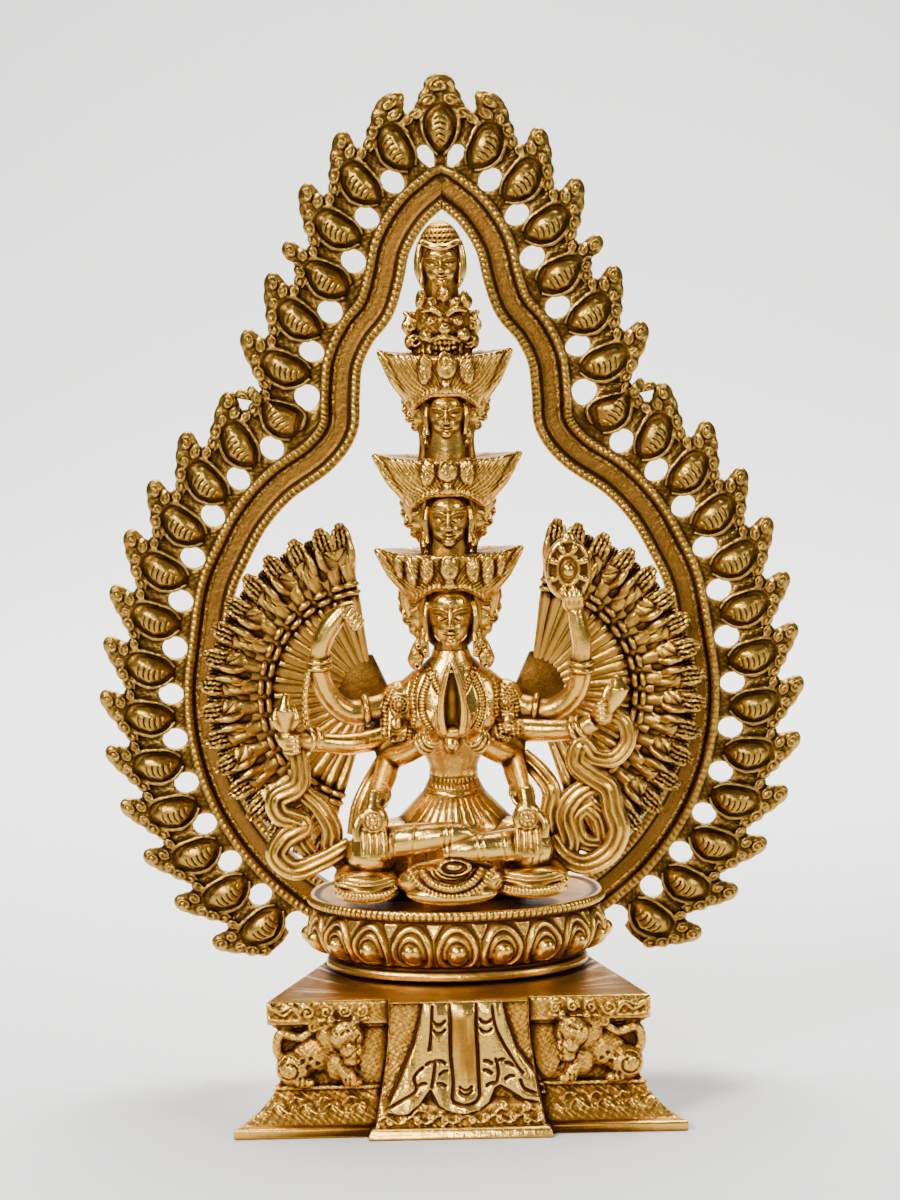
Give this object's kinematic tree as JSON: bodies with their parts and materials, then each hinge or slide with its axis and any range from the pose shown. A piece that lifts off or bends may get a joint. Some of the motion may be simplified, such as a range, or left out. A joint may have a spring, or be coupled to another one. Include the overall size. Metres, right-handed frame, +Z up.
{
  "type": "seated deity statue",
  "caption": "Cast brass statue of a many-armed seated deity with stacked heads, fans of small arms, a pierced flame aureole, a lotus seat and a lion throne.",
  "frame": {"origin": "middle of the throne's underside, below the figure's axis", "axes": "+Z up, the front of the statue looks along -Y, +X to the right as seen from the front"},
  "size_m": [0.2182, 0.085, 0.3085],
  "materials": {
    "throne_brass": "antique brass, dark in the recesses",
    "figure_brass": "polished brass, dark in the recesses",
    "fan_brass": "polished brass, dark in the recesses",
    "aureole_brass": "antique brass, duller in the channel"
  },
  "bodies": {
    "root": {"lion_throne": "throne_brass", "seated_figure": "figure_brass", "arm_fan_left": "fan_brass", "arm_fan_right": "fan_brass", "aureole": "aureole_brass"}
  },
  "joints": []
}
